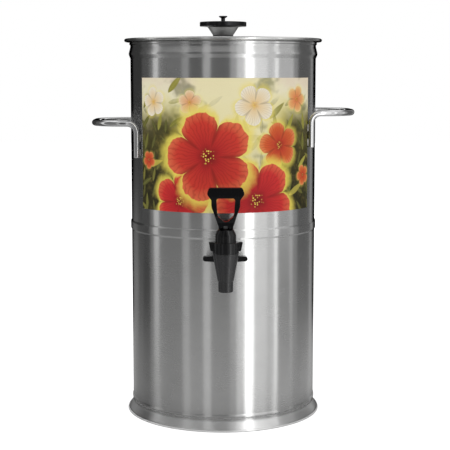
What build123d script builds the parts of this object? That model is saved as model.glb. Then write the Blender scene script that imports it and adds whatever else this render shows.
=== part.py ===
from build123d import *
import math
import os

# A tall steel tea dispenser with a lift-off lid, two rod handles and a self-closing tap.
# Millimetres, +Z up, origin on the tank's axis at the surface it stands on, the tap towards -Y.

# Tank
shell_radius = 120.65
sheet = 1.2
base_radius = 126.7
flare_top = 11.0
low_bead = 18.0
middle_bead = 248.5
top_bead = 469.6
rim_top = 485.0
rim_roll = 1.8
hem_width, hem_height = 3.4, 2.6
inner_radius = shell_radius - sheet
floor_edge, floor_middle, floor_flange = 196.0, 190.5, 13.0

# Label
label_bottom, label_top = 275.0, 439.5
label_from, label_to = -58.3, 61.2
label_thickness = 0.3

# Side handles
rod = 3.97
leg_spacing = 114.3
handle_tip = 170.5
handle_heights = {"left": 382.0, "right": 395.0}
leg_drop = 43.5
leg_bend, corner_bend = 12.0, 43.0
weld_width, weld_gap = 5.0, 3.0

# Lid
lid_sheet = 1.0
lid_radius = 128.4
lid_edge = 4.2
lid_crown = 491.6
lid_groove = 478.2
groove_radius = 117.6
knob_hole = 6.6

# Knob and vent plug
knob_radius, knob_disc = 30.3, 5.9
knob_top = 511.1
knob_foot = 493.8
knob_cone_top, knob_cone_foot = 20.0, 12.9
knob_stub, knob_stub_end = 6.5, 481.6
knob_recess = 3.0
plug_bore, plug_stem = 2.9, 2.6
plug_top, plug_end = 518.8, 486.0

# Shank, measured outwards from the tank's axis
tap_height = 221.0
wall_hole = 11.2
shank_bore, shank_thread = 4.75, 9.5
shank_inner_end, shank_end = 104.0, 134.15
gasket_radius = 15.0
flange_face, flange_thickness = 123.15, 3.0
washer_face, washer_thickness, nut_thickness = 115.45, 1.5, 7.5
nut_across = 27.0
seat_washer_thickness = 1.5

# Wing nut and the tap's tail
wing_from, wing_to = 126.65, 140.65
wing_hub = 13.25
ear_reach, ear_tip, ear_root = 27.2, 2.95, 3.8
ear_depth = 9.0
tail_radius, groove_bottom = 7.5, 6.6
ring_from, ring_thickness, ring_radius = 137.8, 1.6, 9.5
lip_bore = 7.9

# Tap body
tap_reach = 162.65
spout_tip, spout_top, body_top = 185.1, 198.6, 232.2
spout_radius, cone_foot, cone_top = 9.1, 9.8, 15.7
outlet_bore, chamber_bore = 5.0, 8.5
seat_foot = 207.0
collar_radius, collar_top = 12.3, 239.5

# Bonnet
bonnet_roof, bonnet_top = 241.0, 261.5
bonnet_ring, bonnet_ring_top = 16.0, 245.5
bonnet_shoulder, bonnet_shoulder_top, bonnet_neck = 12.7, 254.5, 9.2
bonnet_ear = 20.3
bonnet_ear_foot, bonnet_ear_depth = 235.0, 5.0
spring_pocket, spring_ceiling = 5.6, 255.0

# Valve stem, cup and spring
stem_radius, guide_clearance = 2.5, 0.05
cup_radius, cup_wall = 7.3, 1.4
cup_floor, cup_foot = 214.0, 207.4
foot_radius, foot_low, foot_high = 4.6, 209.4, 211.6
collar_plate, collar_plate_radius = 1.4, 5.2
eye_radius, eye_thickness = 4.0, 4.6
spring_radius, spring_wire, spring_turns = 4.2, 0.55, 8
spring_slack = 0.05

# Tap handle: the foot's underside is an involute, so the stem rises evenly with the tilt
lift_per_radian = 6.4
foot_height = 4.5
foot_clearance = 0.05
cam_end = 50.0
cam_points = 6
neck_half = 8.6
pin_radius, pin_clearance = 1.5, 0.05
slot_half, slot_round = 2.8, 6.3
pin_height = bonnet_top + foot_height


def turned(*corners):
    """A solid turned about Z from its closed half section of (radius, height, rounding) corners."""
    points = [corner[:2] for corner in corners]
    rounding = [corner[2] if len(corner) == 3 else 0 for corner in corners]
    return revolve(Plane.XZ * make_face(FilletPolyline(*points, radius=rounding, close=True)), Axis.Z)


def sheet_section(corners, thickness, towards):
    """A sheet's half section: an open line of (radius, height, rounding) corners, thickened towards a direction."""
    points = [corner[:2] for corner in corners]
    line = FilletPolyline(*points, radius=[corner[2] for corner in corners[1:-1]])
    sections = [make_face(offset(line, thickness, side=side)) for side in (Side.LEFT, Side.RIGHT)]
    return max(sections, key=lambda section: section.center().dot(Vector(*towards)))


def plate(*corners):
    """A flat closed outline of (x, y, rounding) corners."""
    points = [corner[:2] for corner in corners]
    rounding = [corner[2] if len(corner) == 3 else 0 for corner in corners]
    return make_face(FilletPolyline(*points, radius=rounding, close=True))


def ring(outer, inner, low, high):
    """A flat ring about Z."""
    return turned((inner, low), (outer, low), (outer, high), (inner, high))


def hexagon_nut(across, bore, low, thickness):
    """A hexagon nut about Z with its corners turned off."""
    blank = extrude(RegularPolygon(across / 2, 6, major_radius=False), thickness)
    corner = across / math.sqrt(3)
    bevel = corner - across / 2
    lathe = turned(
        (bore, 0), (across / 2, 0), (corner, bevel / 2), (corner, thickness - bevel / 2),
        (across / 2, thickness), (bore, thickness),
    )
    return Pos(0, 0, low) * (blank & lathe)


def outward(shape):
    """Turn a piece made along +Z so that it points out of the tank at the tap's height."""
    return Pos(0, 0, tap_height) * Rot(90, 0, 0) * shape


def at_tap(shape):
    """Stand a piece made about Z on the tap's own axis."""
    return Pos(0, -tap_reach, 0) * shape


def tank_shell():
    """The rolled wall with its beads, rolled rim, flared base and hem, and the hole for the shank."""
    low_rise, middle_rise, top_rise = 0.9, 1.2, 2.0
    wall = sheet_section(
        [
            (base_radius - 0.7, hem_height / 2, 0),
            (shell_radius, flare_top, 12),
            (shell_radius, low_bead - 3, 0.8),
            (shell_radius + low_rise, low_bead - 1, 2),
            (shell_radius + low_rise, low_bead + 1, 2),
            (shell_radius, low_bead + 3, 0.8),
            (shell_radius, middle_bead - 6.5, 1.5),
            (shell_radius + middle_rise, middle_bead - 4.5, 2),
            (shell_radius + middle_rise, middle_bead + 4.5, 2),
            (shell_radius, middle_bead + 6.5, 1.5),
            (shell_radius, top_bead - 6, 2),
            (shell_radius + top_rise, top_bead - 1, 2.5),
            (shell_radius + top_rise, top_bead + 1, 3),
            (shell_radius, top_bead + 9, 8),
            (shell_radius, rim_top - rim_roll, 0),
        ],
        sheet,
        towards=(-1, 0),
    )
    hem = plate(
        (base_radius - hem_width, 0),
        (base_radius, 0, 0.5),
        (base_radius, hem_height, 1.2),
        (base_radius - hem_width, hem_height),
    )
    roll = Pos(shell_radius - sheet / 2, rim_top - rim_roll) * Circle(rim_roll)
    shell = revolve(Plane.XZ * (wall + hem + roll), Axis.Z)
    hole = outward(Cylinder(wall_hole, 2 * sheet + 4)).moved(Pos(0, -inner_radius, 0))
    return shell - hole


def tank_floor():
    """The dished plate welded inside the wall below the outlet."""
    section = sheet_section(
        [
            (inner_radius, floor_edge - floor_flange, 0),
            (inner_radius, floor_edge, 6),
            (inner_radius / 2, floor_middle, 600),
            (0, floor_middle, 0),
        ],
        sheet,
        towards=(0, -1),
    )
    return revolve(Plane.XZ * section, Axis.Z)


def front_label():
    """The printed panel wrapped round the upper front of the wall."""
    start, sweep_angle = label_from - 90, label_to - label_from
    inner = CenterArc((0, 0), shell_radius, start, sweep_angle)
    outer = CenterArc((0, 0), shell_radius + label_thickness, start, sweep_angle)
    outline = inner + Line(inner @ 1, outer @ 1) + outer + Line(outer @ 0, inner @ 0)
    return Pos(0, 0, label_bottom) * extrude(make_face(outline), label_top - label_bottom)


def side_handle(height):
    """A bent rod: two legs down the wall, a level loop outwards, and a weld along each leg."""
    half = leg_spacing / 2
    leg_angle = math.asin(half / (shell_radius + rod))
    leg_x = half / math.tan(leg_angle)
    tip_x = handle_tip - rod
    foot = height - leg_drop
    path = FilletPolyline(
        (leg_x, -half, foot), (leg_x, -half, height), (tip_x, -half, height),
        (tip_x, half, height), (leg_x, half, height), (leg_x, half, foot),
        radius=[leg_bend, corner_bend, corner_bend, leg_bend],
    )
    handle = sweep(Plane(path @ 0, z_dir=path % 0) * Circle(rod), path=path)
    weld_length = leg_drop - leg_bend - 2 * weld_gap
    for side in (-1, 1):
        weld = Box(rod + 1, weld_width, weld_length, align=(Align.MAX, Align.CENTER, Align.MIN))
        turn = Rot(0, 0, side * math.degrees(leg_angle))
        handle += turn * Pos(shell_radius + rod, 0, foot + weld_gap) * weld
    return handle - Cylinder(shell_radius, 2 * rim_top)


def lid_plate():
    """The spun lid: a low dome, a groove that drops inside the mouth, a ledge on the rim and a rolled edge."""
    ledge = rim_top + lid_sheet
    sheet_top = sheet_section(
        [
            (knob_hole, lid_crown, 0),
            (16, lid_crown, 60),
            (90, lid_crown - 1.4, 100),
            (106, lid_crown - 2.4, 4),
            (109, lid_groove + lid_sheet, 3),
            (groove_radius - lid_sheet, lid_groove + lid_sheet, 2.5),
            (groove_radius - lid_sheet, ledge, 2),
            (lid_radius - 4, ledge, 0),
        ],
        lid_sheet,
        towards=(0, -1),
    )
    edge_round = lid_edge / 2 - 0.05
    edge = plate(
        (lid_radius - 6, rim_top),
        (lid_radius, rim_top, edge_round),
        (lid_radius, rim_top + lid_edge, edge_round),
        (lid_radius - 6, rim_top + lid_edge, 1.5),
    )
    return revolve(Plane.XZ * (sheet_top + edge), Axis.Z)


def lid_knob():
    """The turned knob: a disc on a cone, a stub through the lid, and a bore for the vent plug."""
    disc_foot = knob_top - knob_disc
    return turned(
        (plug_bore, knob_stub_end),
        (knob_stub, knob_stub_end, 0.5),
        (knob_stub, knob_foot),
        (knob_cone_foot, knob_foot, 0.4),
        (knob_cone_top, disc_foot - 0.7, 2),
        (knob_cone_top + 6, disc_foot, 6),
        (knob_radius, disc_foot, 0.8),
        (knob_radius, knob_top, 0.8),
        (6, knob_top),
        (6, knob_top - knob_recess),
        (plug_bore, knob_top - knob_recess),
    )


def vent_plug():
    """The T-shaped pin that lifts out of the knob: a flared head, a stem and a shoulder that seats it."""
    shoulder = knob_top - knob_recess
    return turned(
        (0, plug_end),
        (plug_stem, plug_end, 1),
        (plug_stem, shoulder),
        (4.6, shoulder, 0.3),
        (4.6, shoulder + 1.5, 0.5),
        (plug_stem, shoulder + 1.5),
        (plug_stem, plug_top - 3),
        (5.4, plug_top - 1.2, 0.4),
        (5.4, plug_top, 0.4),
        (0, plug_top),
    )


def shank():
    """The threaded tube through the wall, with the flange that clamps the outer gasket."""
    flange_end = flange_face + flange_thickness
    return outward(
        turned(
            (shank_bore, shank_inner_end),
            (shank_thread, shank_inner_end, 0.8),
            (shank_thread, flange_face),
            (gasket_radius, flange_face, 0.4),
            (gasket_radius, flange_end, 0.8),
            (shank_thread, flange_end),
            (shank_thread, shank_end, 0.6),
            (shank_bore, shank_end),
        )
    )


def shank_gaskets():
    """The outer and inner gaskets, each cut on one side to the wall's curve."""
    clear = shank_thread + 0.1
    outer = outward(ring(gasket_radius, clear, shell_radius - 5, flange_face)) - Cylinder(shell_radius, 2 * rim_top)
    inner = outward(ring(gasket_radius, clear, washer_face, inner_radius + 2)) & Cylinder(inner_radius, 2 * rim_top)
    return outer, inner


def wing_nut():
    """The nut that couples the tap to the shank, with two ears."""
    ring_end = ring_from + ring_thickness
    hub = turned(
        (shank_thread, wing_from),
        (wing_hub, wing_from, 1),
        (wing_hub, wing_to, 1.5),
        (lip_bore, wing_to),
        (lip_bore, ring_end),
        (ring_radius + 0.3, ring_end),
        (ring_radius + 0.3, shank_end),
        (shank_thread, shank_end),
    )
    tip = ear_reach - ear_tip
    root = wing_hub - 2
    ear = plate((root, -ear_root), (tip, -ear_tip), (tip, ear_tip), (root, ear_root)) + Pos(tip, 0) * Circle(ear_tip)
    for side in (0, 180):
        hub += Rot(0, 0, side) * Pos(0, 0, (wing_from + wing_to - ear_depth) / 2) * extrude(ear, ear_depth)
    return outward(hub)


def retaining_ring():
    """The split ring in the tail's groove that the wing nut pulls on."""
    whole = ring(ring_radius, groove_bottom, ring_from, ring_from + ring_thickness)
    split = Pos(0, -ring_radius, ring_from + ring_thickness / 2) * Box(4, 2 * ring_radius, 2 * ring_thickness)
    return outward(whole - split)


def tap_body():
    """The body: a cone with a spout, a threaded collar on top, the tail to the shank and the valve's seat."""
    tail_end = shank_end + seat_washer_thickness
    seat_top = seat_foot + chamber_bore - outlet_bore
    body = at_tap(
        turned(
            (0, spout_tip),
            (spout_radius - 0.2, spout_tip, 0.8),
            (spout_radius, spout_top - 0.6),
            (cone_foot, spout_top, 0.3),
            (cone_top, body_top - 1.6, 0.5),
            (cone_top, body_top, 0.3),
            (collar_radius, body_top),
            (collar_radius, collar_top, 0.3),
            (0, collar_top),
        )
    )
    body += outward(
        turned(
            (0, tail_end), (tail_radius, tail_end), (tail_radius, ring_from), (groove_bottom, ring_from),
            (groove_bottom, ring_from + ring_thickness), (tail_radius, ring_from + ring_thickness),
            (tail_radius, tap_reach - chamber_bore), (0, tap_reach - chamber_bore),
        )
    )
    body -= at_tap(
        turned(
            (0, spout_tip), (outlet_bore, spout_tip), (outlet_bore, seat_foot), (chamber_bore, seat_top),
            (chamber_bore, collar_top), (0, collar_top),
        )
    )
    return body - outward(turned((0, tail_end), (shank_bore, tail_end), (shank_bore, tap_reach), (0, tap_reach)))


def bonnet():
    """The cap screwed on the body: a ring with two ears, a shoulder, a flat top and the stem's guide."""
    guide = stem_radius + guide_clearance
    cap = turned(
        (guide, spring_ceiling),
        (guide, bonnet_top),
        (bonnet_neck, bonnet_top, 3),
        (bonnet_shoulder, bonnet_shoulder_top, 8),
        (bonnet_shoulder, bonnet_ring_top),
        (bonnet_ring, bonnet_ring_top, 0.8),
        (bonnet_ring, body_top, 0.6),
        (collar_radius, body_top),
        (collar_radius, bonnet_roof),
        (spring_pocket, bonnet_roof),
        (spring_pocket, spring_ceiling),
    )
    root = bonnet_ring - 1.5
    ear = plate(
        (root, bonnet_ear_foot - 1), (bonnet_ear - 2, bonnet_ear_foot, 2),
        (bonnet_ear, bonnet_ring_top, 0.6), (root, bonnet_ring_top),
    )
    for side in (0, 180):
        cap += Rot(0, 0, side) * Pos(0, bonnet_ear_depth / 2, 0) * extrude(Plane.XZ * ear, bonnet_ear_depth)
    return at_tap(cap)


def seat_cup():
    """The rubber cup: a rim clamped under the bonnet, a thin wall, and a plug that closes the seat."""
    seat_line = cup_radius - outlet_bore + seat_foot
    foot_edge = cup_foot - seat_foot + outlet_bore
    rim = collar_radius - 0.9
    cup = turned(
        (0, cup_foot), (foot_edge, cup_foot), (cup_radius, seat_line), (cup_radius, collar_top),
        (rim, collar_top), (rim, bonnet_roof), (cup_radius - cup_wall, bonnet_roof),
        (cup_radius - cup_wall, cup_floor), (0, cup_floor),
    )
    pocket = turned(
        (0, foot_low), (foot_radius, foot_low), (foot_radius, foot_high),
        (stem_radius, foot_high), (stem_radius, cup_floor), (0, cup_floor),
    )
    return at_tap(cup - pocket)


def valve_stem():
    """The stem: a foot held in the cup, a plate for the spring, a rod through the bonnet and an eye."""
    rod_part = turned(
        (0, foot_low), (foot_radius, foot_low, 0.4), (foot_radius, foot_high, 0.4), (stem_radius, foot_high),
        (stem_radius, cup_floor), (collar_plate_radius, cup_floor),
        (collar_plate_radius, cup_floor + collar_plate, 0.3),
        (stem_radius, cup_floor + collar_plate), (stem_radius, bonnet_top + 1.5), (0, bonnet_top + 1.5),
    )
    eye_foot = foot_height - 0.5
    outline = Circle(eye_radius) + Pos(0, -eye_foot / 2) * Rectangle(2 * eye_radius, eye_foot)
    outline -= Circle(pin_radius + pin_clearance)
    eye = Pos(0, 0, pin_height) * extrude(Plane.YZ * outline, eye_thickness / 2, both=True)
    hole = Pos(0, 0, pin_height) * Rot(0, 90, 0) * Cylinder(pin_radius + pin_clearance, 2 * neck_half)
    return at_tap(rod_part + eye - hole)


def closing_spring():
    """The coil spring between the stem's plate and the bonnet."""
    low = cup_floor + collar_plate + spring_wire + spring_slack
    high = spring_ceiling - spring_wire - spring_slack
    path = Helix((high - low) / spring_turns, high - low, spring_radius)
    coil = sweep(Plane(path @ 0, z_dir=path % 0) * Circle(spring_wire), path=path, is_frenet=True)
    print("closing spring, gap between turns", round((high - low) / spring_turns - 2 * spring_wire, 2))
    return at_tap(Pos(0, 0, low) * coil)


def cam_line():
    """The foot's underside from the flat forwards: an involute whose height below the pin grows with the tilt."""
    points = []
    for step in range(cam_points + 1):
        tilt = math.radians(cam_end) * step / cam_points
        height = foot_height - foot_clearance + lift_per_radian * tilt
        points.append(
            (
                -height * math.sin(tilt) - lift_per_radian * math.cos(tilt),
                -height * math.cos(tilt) + lift_per_radian * math.sin(tilt),
            )
        )
    return Spline(*points)


def tap_handle():
    """The loop handle: a finger bar on a tapering loop, and a forked foot that rides on the bonnet."""
    bar_top, bar_foot = 44.6, 31.9
    half_bar, half_loop = 22.5, 17.2
    front = plate(
        (-neck_half, -12), (neck_half, -12), (neck_half, -1, 3),
        (half_loop, 22, 16), (half_loop, bar_foot - 2, 3), (half_bar, bar_foot + 5, 5), (half_bar - 2.6, bar_top, 3),
        (2.6 - half_bar, bar_top, 3), (-half_bar, bar_foot + 5, 5), (-half_loop, bar_foot - 2, 3),
        (-half_loop, 22, 16), (-neck_half, -1, 3),
    )
    opening = plate(
        (-11.2, bar_foot, 2.5), (11.2, bar_foot, 2.5), (9.9, 11, 7), (0, 2.6, 7), (-9.9, 11, 7),
    )
    cam = cam_line()
    flat = foot_clearance - foot_height
    back = FilletPolyline(
        cam @ 0, (7.8, flat), (7.8, 3), (4, 12), (3.4, 26), (4.6, 34), (4.6, bar_top), (-4.6, bar_top),
        (-4.6, 34), (-3.4, 26), (-4.4, 11), (-11, 4), cam @ 1,
        radius=[1.2, 4, 10, 10, 4, 1.5, 1.5, 4, 10, 6, 2],
    )
    side = make_face(cam + back)
    handle = extrude(Plane.YZ * side, half_bar + 1, both=True)
    handle &= extrude(Plane.XZ * front, 30, both=True)
    handle -= extrude(Plane.XZ * opening, 30, both=True)
    slot = Circle(slot_round) + Pos(-8, -6) * Rectangle(16 + 2 * slot_round - 12.6, 12)
    slot += Pos((slot_round - 20) / 2, -6) * Rectangle(20 + slot_round, 12)
    handle -= extrude(Plane.YZ * slot, slot_half, both=True)
    handle -= Rot(0, 90, 0) * Cylinder(pin_radius, 4 * neck_half)
    return at_tap(Pos(0, 0, pin_height) * handle)


def handle_pin():
    """The cross pin through the handle's cheeks and the stem's eye."""
    return at_tap(Pos(0, 0, pin_height) * Rot(0, 90, 0) * Cylinder(pin_radius, 2 * neck_half))


outer_gasket, inner_gasket = shank_gaskets()
knob_washer_top = lid_crown - lid_sheet
pieces = {
    "tank_shell": tank_shell(),
    "tank_bottom": tank_floor(),
    "front_label": front_label(),
    "right_handle": side_handle(handle_heights["right"]),
    "left_handle": Rot(0, 0, 180) * side_handle(handle_heights["left"]),
    "lid_plate": lid_plate(),
    "lid_knob": lid_knob(),
    "knob_gasket": ring(knob_cone_foot + 0.4, knob_stub, lid_crown, knob_foot),
    "knob_washer": ring(11.0, knob_stub, knob_washer_top - 1.2, knob_washer_top),
    "knob_nut": hexagon_nut(19.0, knob_stub, knob_washer_top - 7.2, 6.0),
    "vent_plug": vent_plug(),
    "shank": shank(),
    "outer_gasket": outer_gasket,
    "inner_gasket": inner_gasket,
    "shank_washer": outward(
        ring(gasket_radius, shank_thread + 0.2, washer_face - washer_thickness, washer_face)
    ),
    "shank_nut": outward(
        hexagon_nut(nut_across, shank_thread, washer_face - washer_thickness - nut_thickness, nut_thickness)
    ),
    "seat_washer": outward(ring(ring_radius - 0.5, shank_bore, shank_end, shank_end + seat_washer_thickness)),
    "wing_nut": wing_nut(),
    "retaining_ring": retaining_ring(),
    "tap_body": tap_body(),
    "tap_bonnet": bonnet(),
    "seat_cup": seat_cup(),
    "valve_stem": valve_stem(),
    "closing_spring": closing_spring(),
    "tap_handle": tap_handle(),
    "handle_pin": handle_pin(),
}

os.makedirs("parts", exist_ok=True)
for name, piece in pieces.items():
    piece.label = name
    export_step(piece, f"parts/{name}.step")
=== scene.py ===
"""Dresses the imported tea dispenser: finer meshes, procedural finishes, a studio and a camera."""
import logging
import math
from dataclasses import dataclass
from enum import Enum
from functools import cached_property, reduce
from typing import Any, Mapping, Sequence

import bmesh
import bpy
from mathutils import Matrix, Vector


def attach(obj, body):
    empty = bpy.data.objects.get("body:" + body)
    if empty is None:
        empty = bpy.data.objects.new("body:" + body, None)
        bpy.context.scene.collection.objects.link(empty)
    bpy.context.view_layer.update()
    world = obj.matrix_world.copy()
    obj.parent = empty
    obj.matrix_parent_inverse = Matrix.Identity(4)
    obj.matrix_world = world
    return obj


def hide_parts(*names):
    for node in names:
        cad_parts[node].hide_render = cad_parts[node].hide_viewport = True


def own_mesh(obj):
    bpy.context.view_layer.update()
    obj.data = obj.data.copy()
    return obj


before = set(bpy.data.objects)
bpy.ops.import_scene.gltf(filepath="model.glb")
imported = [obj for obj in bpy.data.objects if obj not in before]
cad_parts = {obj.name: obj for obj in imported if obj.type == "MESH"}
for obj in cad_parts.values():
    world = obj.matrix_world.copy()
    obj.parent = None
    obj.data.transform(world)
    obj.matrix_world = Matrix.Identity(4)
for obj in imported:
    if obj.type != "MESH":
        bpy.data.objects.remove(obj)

log = logging.getLogger("tea_dispenser")

MM = 0.001
SEED = 7
WALL = 120.65  # the wall's outer radius in millimetres
WHITE = (1.0, 1.0, 1.0)

Colour = tuple[float, float, float]
Corner = tuple[float, ...]
Stops = Sequence[tuple[float, Colour]]
Feed = Any  # what an input takes: an output socket, a node, or a plain value
Node = bpy.types.Node
Socket = bpy.types.NodeSocket
Sockets = Mapping[str, Socket]
Tree = bpy.types.NodeTree
Material = bpy.types.Material
Mesh = bpy.types.Mesh
Object = bpy.types.Object


class Body(Enum):
    """The moving bodies that a piece can ride on."""

    ROOT = "root"
    LID = "lid"
    PLUG = "plug"
    STEM = "stem"


class Slot(Enum):
    """The record's material slots named for the scene's own pieces; each piece is handed one, but nothing
    reads it.
    """

    TANK = "tank_steel"
    LID = "lid_steel"
    ROD = "polished_rod"
    KNOB = "knob_metal"
    FASTENER = "fastener_steel"
    LABEL = "printed_label"
    CUP = "cup_rubber"


class Graph:
    """A node tree under construction, with short calls that add, feed and link nodes."""

    FIRST_COLOUR, SECOND_COLOUR, MIXED_COLOUR = 6, 7, 2  # the Mix node's colour sockets by index

    def __init__(self, tree: Tree) -> None:
        """Wraps the tree to build in."""
        self.tree = tree

    def add(self, kind: str, inputs: dict | None = None, **settings: Any) -> Node:
        """Adds a node.

        Args:
            kind: the node's type name.
            inputs: values or sockets for its inputs, by name or index.
            settings: attributes to set on the node before its inputs.

        Returns:
            The new node.
        """
        node = self.tree.nodes.new(kind)
        for name, value in settings.items():
            setattr(node, name, value)
        for key, value in (inputs or {}).items():
            self.feed(node.inputs[key], value)
        return node

    def feed(self, socket: Socket, value: Feed) -> None:
        """Links a socket or a node's first output to an input, or sets the input's own value.

        Args:
            socket: the input.
            value: an output socket, a node, or a plain value; a colour of three channels is made opaque.
        """
        if isinstance(value, Node):
            value = value.outputs[0]
        if isinstance(value, Socket):
            self.tree.links.new(value, socket)
            return
        if socket.type == "RGBA" and len(value) == 3:
            value = (*value, 1.0)
        socket.default_value = value

    def math(self, operation: str, *values: Feed, clamp: bool = False) -> Socket:
        """Adds a Math node and returns its output."""
        node = self.add("ShaderNodeMath", dict(enumerate(values)), operation=operation, use_clamp=clamp)
        return node.outputs[0]

    def times(self, *values: Feed) -> Socket:
        """Multiplies its values."""
        return reduce(lambda first, second: self.math("MULTIPLY", first, second), values)

    def plus(self, *values: Feed) -> Socket:
        """Adds up its values."""
        return reduce(lambda first, second: self.math("ADD", first, second), values)

    def minus(self, first: Feed, second: Feed, clamp: bool = False) -> Socket:
        """Takes the second value from the first."""
        return self.math("SUBTRACT", first, second, clamp=clamp)

    def over(self, first: Feed, second: Feed) -> Socket:
        """Divides the first value by the second."""
        return self.math("DIVIDE", first, second)

    def vector(self, operation: str, *values: Feed) -> Node:
        """Adds a Vector Math node."""
        return self.add("ShaderNodeVectorMath", dict(enumerate(values)), operation=operation)

    def length(self, vector: Feed) -> Socket:
        """Measures a vector."""
        return self.vector("LENGTH", vector).outputs["Value"]

    def scaled(self, vector: Feed, factor: Feed) -> Node:
        """Scales a vector by a value."""
        return self.add("ShaderNodeVectorMath", {0: vector, "Scale": factor}, operation="SCALE")

    def turned_back(self, vector: Feed, angle: Feed) -> Node:
        """Turns a vector about Z by minus an angle in radians."""
        inputs = {"Vector": vector, "Angle": self.times(angle, -1.0)}
        return self.add("ShaderNodeVectorRotate", inputs, rotation_type="Z_AXIS")

    def split(self, vector: Feed) -> tuple[Socket, ...]:
        """Parts a vector into its three values."""
        return tuple(self.add("ShaderNodeSeparateXYZ", {0: vector}).outputs)

    def join(self, x: Feed = 0.0, y: Feed = 0.0, z: Feed = 0.0) -> Node:
        """Joins three values to a vector."""
        return self.add("ShaderNodeCombineXYZ", {0: x, 1: y, 2: z})

    def span(self, value: Feed, low: Feed, high: Feed, to_low: Feed = 0.0, to_high: Feed = 1.0,
             smooth: bool = False) -> Socket:
        """Maps a value's span onto another, clamped at both ends.

        Args:
            value: the value to map.
            low: the value that becomes to_low.
            high: the value that becomes to_high.
            to_low: the result at low.
            to_high: the result at high.
            smooth: whether the ends ease in and out.

        Returns:
            The mapped value.
        """
        inputs = dict(enumerate((value, low, high, to_low, to_high)))
        easing = "SMOOTHSTEP" if smooth else "LINEAR"
        return self.add("ShaderNodeMapRange", inputs, interpolation_type=easing, clamp=True).outputs[0]

    def blend(self, factor: Feed, first: Feed, second: Feed) -> Socket:
        """Mixes two colours, from the first at 0 to the second at 1."""
        inputs = {0: factor, self.FIRST_COLOUR: first, self.SECOND_COLOUR: second}
        return self.add("ShaderNodeMix", inputs, data_type="RGBA").outputs[self.MIXED_COLOUR]

    def ramp(self, value: Feed, stops: Stops) -> Socket:
        """Colours a value.

        Args:
            value: the value to colour.
            stops: positions with their colours.

        Returns:
            The colour.
        """
        node = self.add("ShaderNodeValToRGB", {0: value})
        elements = node.color_ramp.elements
        while len(elements) < len(stops):
            elements.new(0.5)
        for element, (position, colour) in zip(elements, stops):
            element.position = position
            element.color = (*colour, 1.0)
        return node.outputs[0]

    def noise(self, vector: Feed, scale: Feed, detail: float = 2.0, roughness: float = 0.5) -> Socket:
        """Adds a noise texture and returns its value."""
        inputs = {"Vector": vector, "Scale": scale, "Detail": detail, "Roughness": roughness}
        return self.add("ShaderNodeTexNoise", inputs).outputs[0]

    def use(self, group: Tree, position: Feed, **inputs: Feed) -> Sockets:
        """Adds a shared node group at a position and returns its outputs."""
        return self.add("ShaderNodeGroup", {"Position": position, **inputs}, node_tree=group).outputs

    def radius(self) -> Socket:
        """Measures how far the shaded point stands from the Z axis."""
        return self.length(self.vector("MULTIPLY", self.add("ShaderNodeNewGeometry"), (1.0, 1.0, 0.0)))


class Group(Graph):
    """A node group under construction.

    Attributes:
        given: the group's inputs by name.
    """

    def __init__(self, name: str, inputs: dict, kind: str = "ShaderNodeTree") -> None:
        """Opens the group.

        Args:
            name: the group's name.
            inputs: each input's default value by name, or its socket's type as text.
            kind: the tree's type.
        """
        super().__init__(bpy.data.node_groups.new(name, kind))
        for label, default in inputs.items():
            plain = isinstance(default, float)
            sort = "NodeSocket" + ("Float" if plain else default)
            socket = self.tree.interface.new_socket(label, in_out="INPUT", socket_type=sort)
            if plain:
                socket.default_value = default
        self.given: Sockets = self.add("NodeGroupInput").outputs

    def give(self, kind: str = "Float", **results: Feed) -> Tree:
        """Closes the group.

        Args:
            kind: the outputs' socket type.
            results: each output by name.

        Returns:
            The group's tree.
        """
        for label in results:
            self.tree.interface.new_socket(label, in_out="OUTPUT", socket_type="NodeSocket" + kind)
        self.add("NodeGroupOutput", results)
        return self.tree


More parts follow.
